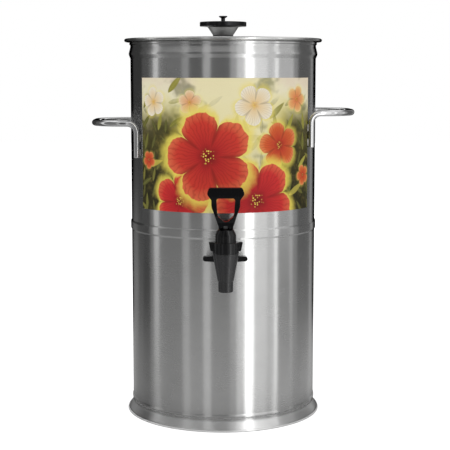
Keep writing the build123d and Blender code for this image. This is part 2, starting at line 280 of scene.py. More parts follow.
class SharedGroups:
    """The shader node groups that several materials use, each built once."""

    @cached_property
    def turned_grain(self) -> Tree:
        """Grain that runs round the Z axis: fine lines, broad bands, and a slow unevenness round the wall.

        Returns:
            The group, with the outputs Fine, Band and Ripple.
        """
        group = Group("TurnedGrain", {"Position": "Vector", "Lines": 1500.0, "Run": 6.0, "Ripples": 24.0})
        given = group.given
        x, y, z = group.split(given["Position"])
        flat = group.join(x, y)
        heading = group.vector("NORMALIZE", flat)
        along = group.plus(z, group.length(flat))
        run, lines = group.scaled(heading, given["Run"]), group.times(along, given["Lines"])
        fine, band = (
            group.noise(group.vector("ADD", run, group.join(z=group.times(lines, factor))), 1.0, 3.0, 0.6)
            for factor in (1.0, 0.035)
        )
        slow = group.join(z=group.times(along, 0.8))
        waves = group.vector("ADD", group.scaled(heading, given["Ripples"]), slow)
        return group.give(Fine=fine, Band=band, Ripple=group.noise(waves, 1.0, 4.0, 0.7))

    @cached_property
    def handling(self) -> Tree:
        """Traces of use: soft smudges and sparse short scuffs.

        Returns:
            The group, with the outputs Smudge and Scuff.
        """
        group = Group("Handling", {"Position": "Vector", "Scale": 18.0})
        place, scale = group.given["Position"], group.given["Scale"]
        smudge = group.span(group.noise(place, scale, 3.0, 0.55), 0.5, 0.72, smooth=True)
        drawn = {"Vector": place, "Scale": (1.0, 1.0, 6.0), "Rotation": (0.5, 0.3, 0.2)}
        specks = group.noise(group.add("ShaderNodeMapping", drawn), group.times(scale, 9.0))
        return group.give(Smudge=smudge, Scuff=group.span(specks, 0.68, 0.74, smooth=True))

    @cached_property
    def back_seam(self) -> Tree:
        """The narrow planished weld down the back of a rolled sheet.

        Returns:
            The group, with the outputs Seam and Tint.
        """
        group = Group("BackSeam", {"Position": "Vector", "Half Width": 0.0012})
        place, half = group.given["Position"], group.given["Half Width"]
        x, y, _ = group.split(place)
        wander = group.times(group.minus(group.noise(place, 60.0), 0.5), 0.0006)
        away = group.math("ABSOLUTE", group.plus(x, wander))
        behind = group.math("GREATER_THAN", y, 0.0)
        seam = group.minus(1.0, group.over(away, half), clamp=True)
        tint = group.minus(1.0, group.over(away, group.times(half, 4.0)), clamp=True)
        return group.give(Seam=group.times(seam, behind), Tint=group.times(tint, behind))

    @cached_property
    def moulded_skin(self) -> Tree:
        """The skin of a moulding: a very fine texture and a slow orange-peel swell.

        Returns:
            The group, with the outputs Texture and Swell.
        """
        group = Group("MouldedSkin", {"Position": "Vector", "Scale": 900.0})
        place = group.given["Position"]
        fine = group.noise(place, group.given["Scale"], 2.0, 0.6)
        return group.give(Texture=fine, Swell=group.noise(place, 90.0, 1.0, 0.4))

    @cached_property
    def leaf(self) -> Tree:
        """One pointed leaf on a flat print: its mask and the shade between its veins.

        Returns:
            The group, with the outputs Mask and Shade.
        """
        group = Group("Leaf", {
            "Position": "Vector", "Across": 0.5, "Up": 0.5, "Turn": 0.0, "Length": 0.2, "Width": 0.05,
        })
        given = group.given
        moved = group.vector("SUBTRACT", given["Position"], group.join(given["Across"], given["Up"]))
        x, y, _ = group.split(group.turned_back(moved, given["Turn"]))
        along, aside = group.over(x, given["Length"]), group.math("ABSOLUTE", y)
        inside = group.times(group.math("GREATER_THAN", along, 0.0), group.math("LESS_THAN", along, 1.0))
        rise = group.math("POWER", group.math("MAXIMUM", along, 0.001), 0.7)
        edge = group.times(rise, group.minus(1.0, along), 2.4, given["Width"])
        room = group.span(group.minus(edge, aside), 0.0, group.times(given["Length"], 0.03))
        share = group.over(aside, group.math("MAXIMUM", given["Width"], 0.001))
        comb = group.math("SINE", group.times(group.minus(along, group.times(share, 0.3)), 60.0))
        shade = group.times(group.span(share, 0.0, 0.12), group.span(comb, -1.4, 1.0))
        return group.give(Mask=group.times(room, inside), Shade=shade)

    @cached_property
    def foliage(self) -> Tree:
        """A layer of scattered leaves on a flat print, one to a cell: mask, tone and shade.

        Returns:
            The group, with the outputs Mask, Tone and Shade.
        """
        group = Group("Foliage", {
            "Position": "Vector", "Scale": 8.0, "Offset": 0.0, "Lean": 0.8, "Spread": 1.6, "Cover": 0.9,
        })
        given, offset = group.given, group.given["Offset"]
        scaled = group.scaled(given["Position"], given["Scale"])
        moved = group.vector("ADD", scaled, group.join(offset, offset))
        cell = group.vector("FLOOR", moved)
        local = group.vector("SUBTRACT", group.vector("SUBTRACT", moved, cell), (0.5, 0.5, 0.0))
        keyed = group.vector("ADD", cell, group.join(z=offset))
        chance = group.add("ShaderNodeTexWhiteNoise", {"Vector": keyed}, noise_dimensions="3D")
        lean, cover, tone = group.split(chance.outputs["Color"])
        turn = group.plus(given["Lean"], group.times(group.minus(lean, 0.5), given["Spread"]))
        place = group.turned_back(local, turn)
        leaf = group.use(self.leaf, place, Across=-0.47, Up=0.0, Length=0.94, Width=0.17)
        here = group.math("LESS_THAN", cover, given["Cover"])
        return group.give(Mask=group.times(leaf["Mask"], here), Tone=tone, Shade=leaf["Shade"])

    @cached_property
    def blossom(self) -> Tree:
        """A five-petalled blossom on a flat print: mask, glow, veins, pollen and share of its radius.

        Returns:
            The group, with the outputs Mask, Glow, Vein, Share and Pollen.
        """
        group = Group("Blossom", {"Position": "Vector", "Across": 0.5, "Up": 0.5, "Reach": 0.2, "Turn": 0.0})
        given, flat, reach = group.given, group.given["Position"], group.given["Reach"]
        off = group.vector("SUBTRACT", flat, group.join(given["Across"], given["Up"]))
        x, y, _ = group.split(off)
        turn = group.plus(group.math("ARCTAN2", x, y), given["Turn"])
        lobe = group.math("ABSOLUTE", group.math("COSINE", group.times(turn, 2.5)))
        ruffle = group.noise(flat, 16.0)
        wave = group.times(group.minus(ruffle, 0.5), 0.16)
        edge = group.plus(group.span(group.math("POWER", lobe, 0.45), 0.0, 1.0, 0.6, 1.0), wave)
        share = group.over(group.length(off), group.times(edge, reach))
        comb = group.math("SINE", group.plus(group.times(turn, 45.0), group.times(ruffle, 12.0)))
        crease = group.times(group.span(lobe, 0.45, 0.0, smooth=True), group.span(share, 0.1, 0.5, 0.0, 0.7))
        spread = {"Vector": group.scaled(off, group.over(17.0, reach)), "Scale": 1.0, "Randomness": 0.6}
        dots = group.add("ShaderNodeTexVoronoi", spread).outputs["Distance"]
        return group.give(
            Mask=group.span(share, 1.02, 1.0), Glow=group.span(share, 1.32, 1.0, smooth=True),
            Vein=group.math("MAXIMUM", group.span(comb, 0.2, 1.0, 0.0, 0.3), crease), Share=share,
            Pollen=group.times(group.span(dots, 0.42, 0.3), group.span(share, 0.2, 0.14, smooth=True)),
        )


def emptied(owner: Material | bpy.types.World) -> Tree:
    """Turns on a material's or a world's nodes and clears them.

    Args:
        owner: the material or the world.

    Returns:
        Its empty tree.
    """
    owner.use_nodes = True
    owner.node_tree.nodes.clear()
    return owner.node_tree


def dimmed(colour: Colour, share: float) -> Colour:
    """Darkens a colour to a share of itself."""
    return tuple(share * channel for channel in colour)


class MaterialDraft(Graph):
    """A new material's graph.

    Attributes:
        material: the material.
        shader: its Principled shader.
        place: its object coordinates.
        groups: the node groups that all materials share.
    """

    groups = SharedGroups()

    def __init__(self, name: str) -> None:
        """Starts the material.

        Args:
            name: the material's name.
        """
        self.material = bpy.data.materials.new(name)
        super().__init__(emptied(self.material))
        self.shader = self.add("ShaderNodeBsdfPrincipled")
        self.add("ShaderNodeOutputMaterial", {"Surface": self.shader})
        self.place = self.add("ShaderNodeTexCoord").outputs["Object"]

    def finish(self, relief: Feed, under: Feed = None, **values: Feed) -> Material:
        """Feeds the shader.

        Args:
            relief: the height of the surface in metres, for its bump.
            under: the normal that the bump bends, where it isn't the mesh's own.
            values: the shader's other inputs, with underscores for the spaces in their names.

        Returns:
            The material.
        """
        bump = {"Height": relief, "Distance": 1.0, "Strength": 1.0}
        if under is not None:
            bump["Normal"] = under
        for name, value in {**values, "Normal": self.add("ShaderNodeBump", bump)}.items():
            self.feed(self.shader.inputs[name.replace("_", " ")], value)
        return self.material


@dataclass(frozen=True)
class Finish:
    """What all finishes of one colour have.

    Attributes:
        name: the material's name.
        colour: its colour.
        roughness: its mean roughness.
    """

    name: str
    colour: Colour
    roughness: float


@dataclass(frozen=True)
class SpunSteel(Finish):
    """Sheet or bar whose grain runs round the tank's axis.

    Attributes:
        anisotropy: how far highlights stretch across the grain.
        lines: grain lines per metre.
        relief: the grain's bump distance in metres.
        ripple: the bump distance of the slow unevenness round the wall.
        seam: whether a planished weld runs down the back.
        near_black_above: the height in metres above which the metal's colour is near black, or None.
        floor_lit_and_dulled: the height in metres below which the metal is duller and its colour painted
            brighter, a painted light for the floor's light on the flare, or None.
    """

    anisotropy: float
    lines: float = 1500.0
    relief: float = 0.0000007
    ripple: float = 0.000003
    seam: bool = False
    near_black_above: float | None = None
    floor_lit_and_dulled: float | None = None

    STAIN, STAIN_EDGE = (0.035, 0.035, 0.037), 0.0004
    # painted light: the flare's brighter tone, standing in for the floor's light, and the height over which
    # it blends in
    WORKED, WORKED_EDGE = (0.92, 0.92, 0.915), 0.002
    HEAT_TINT, TINTED = (0.36, 0.31, 0.26), 0.35
    SEAM_RELIEF = 0.00006
    BAND_SHADE = 0.95
    GRAINY, SMUDGED, DULLED = 0.015, 0.03, 0.12

    def material(self) -> Material:
        """Builds the material.

        Returns:
            The material.
        """
        draft = MaterialDraft(self.name)
        grain = draft.use(draft.groups.turned_grain, draft.place, Lines=self.lines)
        wear = draft.use(draft.groups.handling, draft.place)
        height = draft.split(draft.place)[2]
        dark = dimmed(self.colour, self.BAND_SHADE)
        colour = draft.blend(draft.span(grain["Band"], 0.3, 0.7), dark, self.colour)
        rough = draft.plus(draft.span(grain["Fine"], 0.25, 0.75, -self.GRAINY, self.GRAINY), self.roughness)
        rough = draft.plus(rough, draft.times(wear["Smudge"], self.SMUDGED))
        relief = draft.times(grain["Fine"], self.relief)
        # the colour turns near black above this height
        if self.near_black_above is not None:
            above = draft.span(height, self.near_black_above - self.STAIN_EDGE, self.near_black_above)
            colour = draft.blend(above, colour, self.STAIN)
        if self.floor_lit_and_dulled is not None:
            # below this height the colour is painted brighter, a painted light from the floor, and the
            # roughness rises for a duller finish
            below = draft.span(height, self.floor_lit_and_dulled, self.floor_lit_and_dulled - self.WORKED_EDGE)
            colour = draft.blend(below, colour, self.WORKED)
            rough = draft.plus(rough, draft.times(below, self.DULLED))
        if self.seam:
            seam = draft.use(draft.groups.back_seam, draft.place)
            colour = draft.blend(draft.times(seam["Tint"], self.TINTED), colour, self.HEAT_TINT)
            rough = draft.plus(rough, draft.times(seam["Seam"], self.DULLED))
            relief = draft.plus(relief, draft.times(seam["Seam"], self.SEAM_RELIEF))
        relief = draft.plus(relief, draft.times(grain["Ripple"], self.ripple))
        tangent = draft.add("ShaderNodeTangent", direction_type="RADIAL", axis="Z")
        return draft.finish(
            relief, Base_Color=colour, Metallic=1.0, Roughness=rough, Anisotropic=self.anisotropy,
            Anisotropic_Rotation=0.25, Tangent=tangent,
        )


@dataclass(frozen=True)
class BrightSteel(Finish):
    """Polished or drawn bar and small fasteners."""

    WEAR_SCALE, SKIN_SCALE = 40.0, 2200.0
    SCUFFED, SMUDGED = 0.15, 0.04
    TEXTURE, SWELL = 0.0000015, 0.000012
    SWELL_SHADE = 0.88

    def material(self) -> Material:
        """Builds the material.

        Returns:
            The material.
        """
        draft = MaterialDraft(self.name)
        wear = draft.use(draft.groups.handling, draft.place, Scale=self.WEAR_SCALE)
        skin = draft.use(draft.groups.moulded_skin, draft.place, Scale=self.SKIN_SCALE)
        rough = draft.plus(draft.times(wear["Scuff"], self.SCUFFED), self.roughness)
        fine, slow = draft.times(skin["Texture"], self.TEXTURE), draft.times(skin["Swell"], self.SWELL)
        return draft.finish(
            draft.plus(fine, slow), Metallic=1.0,
            Base_Color=draft.blend(skin["Swell"], dimmed(self.colour, self.SWELL_SHADE), self.colour),
            Roughness=draft.plus(rough, draft.times(wear["Smudge"], self.SMUDGED)),
        )


@dataclass(frozen=True)
class Moulding(Finish):
    """Moulded plastic or rubber.

    Attributes:
        texture: the fine texture's bump distance in metres.
        dust: the colour that scuffs bring out.
        edge: the radius that its edges look rounded to, in metres.
        subsurface: how much light goes through, for translucent rubber.
        gloss: the specular level of its surface.
    """

    texture: float = 0.000004
    dust: Colour = (0.09, 0.09, 0.09)
    edge: float = 0.0006
    subsurface: float = 0.0
    gloss: float = 0.5

    WEAR_SCALE = 60.0
    SCUFFED, SMUDGED = 0.35, 0.08
    SWELL = 0.00002

    def material(self) -> Material:
        """Builds the material.

        Returns:
            The material.
        """
        draft = MaterialDraft(self.name)
        skin = draft.use(draft.groups.moulded_skin, draft.place)
        wear = draft.use(draft.groups.handling, draft.place, Scale=self.WEAR_SCALE)
        fine, slow = draft.times(skin["Texture"], self.texture), draft.times(skin["Swell"], self.SWELL)
        return draft.finish(
            draft.plus(fine, slow), draft.add("ShaderNodeBevel", {"Radius": self.edge}, samples=6),
            Base_Color=draft.blend(draft.times(wear["Scuff"], self.SCUFFED), self.colour, self.dust),
            Roughness=draft.plus(draft.times(wear["Smudge"], self.SMUDGED), self.roughness),
            Subsurface_Weight=self.subsurface, Subsurface_Scale=0.002, Specular_IOR_Level=self.gloss,
        )


@dataclass(frozen=True)
class PrintedVinyl:
    """The label's printed film: blossoms of several sizes strewn over leaves and washes of gold.

    Attributes:
        name: the material's name.
        roughness: the film's roughness.
        aspect: the print's width over its height.
        middle: how far across its middle stands, in label heights.
        blossoms: (across, up, radius, turn, warmth) of each blossom in label heights and radians, with a
            warmth of 0 for crimson petals, 1 for orange ones and 2 for cream ones.
    """

    name: str = "printed_vinyl"
    roughness: float = 0.42
    aspect: float = 1.53
    middle: float = 0.80
    blossoms: tuple[tuple[float, float, float, float, float], ...] = (
        (1.36, 0.84, 0.10, 0.9, 1.2), (0.15, 0.82, 0.11, 0.2, 1.9), (0.97, 0.80, 0.15, 0.5, 1.9),
        (1.45, 0.26, 0.08, 0.4, 0.4), (0.09, 0.38, 0.07, 0.6, 0.3), (0.48, 0.82, 0.09, 0.0, 1.5),
        (1.18, 0.50, 0.17, 0.2, 0.3), (0.40, 0.08, 0.22, 1.0, 0.0), (0.99, 0.09, 0.31, 0.55, 0.0),
        (0.62, 0.42, 0.33, 0.3, 0.05),
    )

    PETALS = (
        ((0.16, 0.004, 0.008), (0.50, 0.012, 0.020), (0.64, 0.026, 0.026), (0.78, 0.13, 0.06)),
        ((0.46, 0.03, 0.01), (0.80, 0.16, 0.02), (0.88, 0.34, 0.04), (0.92, 0.60, 0.16)),
        ((0.80, 0.46, 0.10), (0.92, 0.74, 0.42), (0.94, 0.86, 0.64), (0.95, 0.91, 0.80)),
    )
    PETAL_SHARES = (0.0, 0.3, 0.75, 1.0)
    GLOW = (0.92, 0.76, 0.12)
    POLLEN = (0.96, 0.72, 0.12)
    SPECK = (0.20, 0.14, 0.06)
    CREAM = (0.92, 0.84, 0.50)
    SUNLIT = (0.62, 0.58, 0.14)
    WASH = (
        (0.1, (0.03, 0.03, 0.010)), (0.36, (0.12, 0.11, 0.02)), (0.55, (0.50, 0.42, 0.07)),
        (0.72, (0.84, 0.76, 0.36)), (0.88, (0.90, 0.84, 0.60)), (1.0, (0.86, 0.74, 0.56)),
    )
    DUSK = (
        (0.3, (0.010, 0.011, 0.005)), (0.52, (0.035, 0.032, 0.010)), (0.68, (0.13, 0.10, 0.025)),
        (0.8, (0.40, 0.30, 0.09)),
    )
    MIST = ((0.35, (0.03, 0.045, 0.02)), (0.55, (0.13, 0.14, 0.035)), (0.7, (0.42, 0.34, 0.08)))
    # scale, offset, lean, cover, upper limit and tones of each layer of leaves, from the lowest one
    LEAVES = (
        (8.0, 0.3, 1.9, 0.95, 0.78, (
            (0.0, (0.012, 0.016, 0.006)), (0.5, (0.04, 0.045, 0.01)), (1.0, (0.14, 0.13, 0.02)),
        )),
        (6.5, 3.1, 1.0, 0.75, 0.9, (
            (0.0, (0.03, 0.04, 0.01)), (0.6, (0.12, 0.12, 0.02)), (1.0, (0.38, 0.35, 0.05)),
        )),
        (5.0, 6.7, 0.6, 0.42, 1.1, (
            (0.0, (0.10, 0.11, 0.02)), (0.6, (0.34, 0.30, 0.05)), (1.0, (0.66, 0.48, 0.05)),
        )),
    )

    def material(self) -> Material:
        """Builds the material.

        Returns:
            The material.
        """
        draft = MaterialDraft(self.name)
        uv = draft.add("ShaderNodeUVMap", uv_map="UVMap")
        flat = draft.add("ShaderNodeMapping", {"Vector": uv, "Scale": (self.aspect, 1.0, 1.0)})
        drift = draft.times(draft.minus(draft.noise(flat, 2.3, 4.0, 0.6), 0.5), 0.5)
        colour = self._leaves(draft, flat, drift, self._ground(draft, flat, drift))
        for across, up, reach, turn, warmth in self.blossoms:
            bloom = draft.use(draft.groups.blossom, flat, Across=across, Up=up, Reach=reach, Turn=turn)
            glow = draft.times(bloom["Glow"], min(0.85, 4.0 * reach - 0.1))
            colour = draft.blend(glow, colour, self.GLOW)
            colour = draft.blend(bloom["Mask"], colour, self._petal(draft, bloom, drift, warmth))
            colour = draft.blend(bloom["Pollen"], colour, self.POLLEN)
        speckle = draft.span(draft.noise(flat, 220.0, 2.0, 0.6), 0.35, 0.65, 0.0, 0.07)
        skin = draft.use(draft.groups.moulded_skin, draft.place, Scale=1400.0)
        return draft.finish(
            draft.times(skin["Swell"], 0.000006), Base_Color=draft.blend(speckle, colour, self.SPECK),
            Roughness=self.roughness, Specular_IOR_Level=0.12, Coat_Weight=0.03, Coat_Roughness=0.25,
        )

    def _petal(self, graph: Graph, bloom: Sockets, drift: Socket, warmth: float) -> Socket:
        """Colours one blossom from its dark throat to its lighter rim.

        Args:
            graph: the material's graph.
            bloom: the blossom group's outputs.
            drift: the slow cloud that shifts the colours.
            warmth: the petals' place between the three kinds.

        Returns:
            The petals' colour.
        """
        kind = min(int(warmth), 1)
        tones = [
            tuple(low + (high - low) * (warmth - kind) for low, high in zip(first, second))
            for first, second in zip(self.PETALS[kind], self.PETALS[kind + 1])
        ]
        share = graph.plus(bloom["Share"], graph.times(drift, 0.5))
        petal = graph.ramp(share, list(zip(self.PETAL_SHARES, tones)))
        return graph.blend(bloom["Vein"], petal, dimmed(tones[1], 0.5))

    def _aside(self, graph: Graph, across: Socket) -> Socket:
        """Measures how far a spot stands from the print's middle."""
        return graph.math("ABSOLUTE", graph.minus(across, self.middle))

    def _ground(self, graph: Graph, flat: Node, drift: Socket) -> Socket:
        """Washes the ground: cream above, gold in the middle, olive and brown towards the sides and below.

        Args:
            graph: the material's graph.
            flat: the place on the print, in label heights.
            drift: the slow cloud that shifts the washes.

        Returns:
            The ground's colour.
        """
        across, up, _ = graph.split(flat)
        side = graph.plus(self._aside(graph, across), graph.times(drift, 0.5))
        low = graph.span(graph.plus(up, graph.times(drift, 0.6)), 0.84, 0.62, smooth=True)
        colour = graph.ramp(graph.plus(up, graph.times(drift, 1.6)), self.WASH)
        colour = graph.blend(graph.span(side, 0.42, 0.24, 0.0, 0.85, smooth=True), colour, self.CREAM)
        dusk = graph.ramp(graph.noise(flat, 14.0, 5.0, 0.7), self.DUSK)
        outer = graph.times(graph.span(side, 0.34, 0.52, 0.0, 0.92, smooth=True), low)
        colour = graph.blend(outer, colour, dusk)
        mist = graph.ramp(graph.noise(flat, 9.0, 5.0, 0.65), self.MIST)
        patch = graph.span(graph.noise(flat, 3.4, 3.0, 0.6), 0.52, 0.64, 0.0, 0.6, smooth=True)
        return graph.blend(patch, colour, mist)

    def _leaves(self, graph: MaterialDraft, flat: Node, drift: Socket, colour: Socket) -> Socket:
        """Strews three layers of leaves, from small dark ones below to sparse golden ones on top.

        Args:
            graph: the material's graph.
            flat: the place on the print, in label heights.
            drift: the slow cloud that shifts their upper limit.
            colour: the ground's colour.

        Returns:
            The colour with the leaves on it.
        """
        across, up, _ = graph.split(flat)
        thick = graph.span(self._aside(graph, across), 0.16, 0.46, 0.25, 1.0, smooth=True)
        for scale, offset, lean, cover, top, tones in self.LEAVES:
            leaves = graph.use(graph.groups.foliage, flat, Scale=scale, Offset=offset, Lean=lean, Cover=cover)
            body = graph.ramp(leaves["Tone"], tones)
            shaded = graph.blend(leaves["Shade"], graph.blend(0.3, body, self.SUNLIT), body)
            low = graph.times(graph.span(graph.minus(up, drift), top, top - 0.12), thick)
            colour = graph.blend(graph.times(leaves["Mask"], low), colour, shaded)
        return colour


class Section:
    """A closed half section for a lathe, with its corners rounded and flats held by support points."""

    ARC_STEP = math.radians(14)
    SUPPORT = 0.25
    EDGE = 0.15  # the rounding in millimetres of a corner that states none
    STRAIGHT = 1e-3  # the turn in radians below which a corner counts as straight
    SHARE = 0.49  # the largest share of an edge that one rounding takes up

    def __init__(self, corners: Sequence[Corner]) -> None:
        """Takes its corners, (radius, height) or (radius, height, rounding) in millimetres."""
        self.corners = corners

    def points(self) -> list[Vector]:
        """Works out the rounded outline.

        Returns:
            Its (radius, height) points in millimetres.
        """
        outline: list[Vector] = []
        spots = [Vector(corner[:2]) for corner in self.corners]
        for index, corner in enumerate(self.corners):
            here = spots[index]
            rounding = corner[2] if len(corner) == 3 else self.EDGE
            back, ahead = spots[index - 1] - here, spots[(index + 1) % len(spots)] - here
            turn = math.pi - back.angle(ahead)
            if here.x == 0 or rounding <= 0 or turn < self.STRAIGHT:
                outline.append(here)
                continue
            cut = min(rounding * math.tan(turn / 2), self.SHARE * min(back.length, ahead.length))
            roomy = 6 * cut + 2 * self.SUPPORT  # the length past which an edge gets a support point
            radius = cut / math.tan(turn / 2)
            start, end = here + back.normalized() * cut, here + ahead.normalized() * cut
            centre = here + (back.normalized() + ahead.normalized()).normalized() * math.hypot(radius, cut)
            steps = max(2, math.ceil(turn / self.ARC_STEP))
            if back.length > roomy:
                outline.append(start + back.normalized() * self.SUPPORT)
            for step in range(steps + 1):
                mixed = (start - centre).lerp(end - centre, step / steps)
                outline.append(centre + mixed.normalized() * radius)
            if ahead.length > roomy:
                outline.append(end + ahead.normalized() * self.SUPPORT)
        return outline


def stand(name: str, data: bpy.types.ID) -> Object:
    """Makes an object and links it to the scene.

    Args:
        name: the object's name.
        data: its mesh or camera.

    Returns:
        The object.
    """
    item = bpy.data.objects.new(name, data)
    bpy.context.scene.collection.objects.link(item)
    return item


def plain_mesh(name: str, points: Sequence, edges: Sequence = (), faces: Sequence = ()) -> Mesh:
    """Makes a mesh.

    Args:
        name: the mesh's name.
        points: its points in metres.
        edges: its loose edges, as pairs of points.
        faces: its faces, as runs of points.

    Returns:
        The mesh.
    """
    mesh = bpy.data.meshes.new(name)
    mesh.from_pydata(points, edges, faces)
    return mesh


def close_up(mesh: Mesh, reach: float = 1e-7) -> None:
    """Joins doubled points, drops faces without area and turns all faces outwards.

    Args:
        mesh: the mesh to close.
        reach: how near doubled points are, in metres.
    """
    work = bmesh.new()
    work.from_mesh(mesh)
    bmesh.ops.remove_doubles(work, verts=work.verts, dist=reach)
    bmesh.ops.dissolve_degenerate(work, edges=work.edges, dist=reach)
    bmesh.ops.recalc_face_normals(work, faces=work.faces)
    work.to_mesh(mesh)
    work.free()


class ShapeGroup(Group):
    """A Geometry Nodes group that makes a piece's mesh, with its sizes and its finish as named inputs."""

    def __init__(self, name: str, sizes: dict[str, str]) -> None:
        """Opens the group.

        Args:
            name: the group's name.
            sizes: the socket type of each size by name.
        """
        super().__init__(name, {"Geometry": "Geometry", **sizes, "Finish": "Material"}, "GeometryNodeTree")

    def close(self, shape: Feed, smooth: bool = True) -> None:
        """Closes the group with a plain mesh that wears the finish.

        Args:
            shape: the geometry.
            smooth: whether it is shaded smooth.
        """
        shape = self.add("GeometryNodeRealizeInstances", {0: shape})
        if smooth:
            shape = self.add("GeometryNodeSetShadeSmooth", {0: shape})
        dressed = self.add("GeometryNodeSetMaterial", {"Geometry": shape, "Material": self.given["Finish"]})
        self.give("Geometry", Geometry=dressed)

    def bake(self, name: str, mesh: Mesh, **inputs: Feed) -> Mesh:
        """Runs the group on a mesh.

        Args:
            name: the result's name.
            mesh: what the group starts from.
            inputs: the group's inputs by name.

        Returns:
            The result as a plain, closed mesh.
        """
        holder = stand(name + "_holder", mesh)
        modifier = holder.modifiers.new("nodes", "NODES")
        modifier.node_group = self.tree
        for socket in self.tree.interface.items_tree:
            if socket.name in inputs:
                modifier[socket.identifier] = inputs[socket.name]
        bpy.context.view_layer.update()
        depsgraph = bpy.context.evaluated_depsgraph_get()
        result = bpy.data.meshes.new_from_object(holder.evaluated_get(depsgraph), depsgraph=depsgraph)
        result.name = name
        holder.modifiers.remove(modifier)
        bpy.data.objects.remove(holder)
        bpy.data.meshes.remove(mesh)
        close_up(result)
        return result


class Lathe(ShapeGroup):
    """Turns a section about Z: it is swept along a circle and set inwards by that circle's radius."""

    RING = 1.0  # the circle's radius in metres

    def __init__(self) -> None:
        """Builds the group, with the number of sides as its named input."""
        super().__init__("Lathe", {"Sides": "Int"})
        line = self.add("GeometryNodeMeshToCurve", {0: self.given["Geometry"]})
        size = {"Resolution": self.given["Sides"], "Radius": self.RING}
        circle = self.add("GeometryNodeCurvePrimitiveCircle", size)
        self.close(self.add("GeometryNodeCurveToMesh", {"Curve": circle, "Profile Curve": line}))

    def turn(self, name: str, section: Section, finish: Material, sides: int) -> Mesh:
        """Turns a section.

        Args:
            name: the mesh's name.
            section: the closed half section.
            finish: the material to set.
            sides: the number of sides round the axis.

        Returns:
            The plain mesh in metres, closed at its poles, faces outwards.
        """
        points = section.points()
        loop = [(index, (index + 1) % len(points)) for index in range(len(points))]
        # a profile's own Y points down in the sweep
        spots = [(point.x * MM - self.RING, -point.y * MM, 0.0) for point in points]
        return self.bake(name, plain_mesh(name + "_section", spots, loop), Sides=sides, Finish=finish)


def place(mesh: Mesh, body: Body, slot: Slot, nodes: Sequence[str] = ()) -> Object:
    """Makes a finished piece of a mesh.

    Args:
        mesh: the mesh, in metres and in the shared frame.
        body: the body that it rides on.
        slot: the material slot named for it; not used.
        nodes: the CAD nodes that it stands for.

    Returns:
        The piece.
    """
    piece = stand(mesh.name, mesh)
    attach(piece, body.value)
    if nodes:
        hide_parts(*nodes)
    log.info("%s: %d faces on %s", piece.name, len(mesh.polygons), body.value)
    return piece


def repaint(node: str, material: Material) -> None:
    """Gives a CAD node that stays in view a better material."""
    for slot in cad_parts[node].material_slots:
        slot.material = material


@dataclass
class Tank:
    """The rolled wall with its beads, rim, flared base and hem, in millimetres, and the plate inside it.

    Attributes:
        sheet: the sheet's thickness.
        rim: the rim's height.
        roll: the rounding of the rolled rim.
        beads: the middle heights of the three beads, from the top.
        base: the hem's outer radius.
        hem: the hem's width and height.
        finish: the steel's finish.
    """

    sheet: float = 1.2
    rim: float = 485.0
    roll: float = 1.78
    beads: tuple[float, float, float] = (469.6, 248.5, 18.0)
    base: float = 126.7
    hem: tuple[float, float] = (3.4, 2.6)
    # the flare below 13 mm is painted brighter, a painted light from the floor, and is duller
    finish: SpunSteel = SpunSteel("tank_satin", (0.60, 0.60, 0.595), 0.26, 1.0, seam=True, floor_lit_and_dulled=0.013)

    def section(self) -> Section:
        """Works out the wall's section.

        Returns:
            The section, down the outside from the rim, round the hem and up the inside.
        """
        rim, sheet, base, (wide, tall) = self.rim, self.sheet, self.base, self.hem
        top, middle, low = self.beads
        lip = [
            (WALL + 1.2, rim, self.roll), (WALL + 1.2, rim - 3.5, 0.9), (WALL + 0.05, rim - 4.1, 0.4),
            (WALL, top + 9, 8),
        ]
        side = [
            (WALL + 2.0, top + 1, 3), (WALL + 2.0, top - 1, 2.5), (WALL, top - 6, 2),
            (WALL, middle + 6.5, 1.5), (WALL + 1.2, middle + 4.5, 2),
            (WALL + 1.2, middle - 4.5, 2), (WALL, middle - 6.5, 1.5),
            (WALL, low + 3, 0.8), (WALL + 0.9, low + 1, 1.2),
            (WALL + 0.9, low - 1, 1.2), (WALL, low - 3, 0.8),
            (WALL, 11.0, 12), (base - 1.4, 2.8, 0.5),
        ]
        hem = [(base, tall, 1.1), (base, 0.0, 0.5), (base - wide, 0.0, 0.4), (base - wide, tall, 0.4)]
        inner = [(out - sheet, height, max(turn - sheet, 0.4)) for out, height, turn in reversed(side)]
        roll = [(WALL - sheet, rim - 3.6, 0.6), (WALL - 2.4, rim - 3.6, 1.2), (WALL - 2.4, rim, self.roll)]
        return Section(lip + side + hem + inner + roll)

    def build(self, lathe: Lathe) -> None:
        """Turns and places the wall.

        Args:
            lathe: the shared lathe.
        """
        material = self.finish.material()
        place(lathe.turn("tank_wall", self.section(), material, 320), Body.ROOT, Slot.TANK, ["tank_shell"])
        repaint("tank_bottom", material)


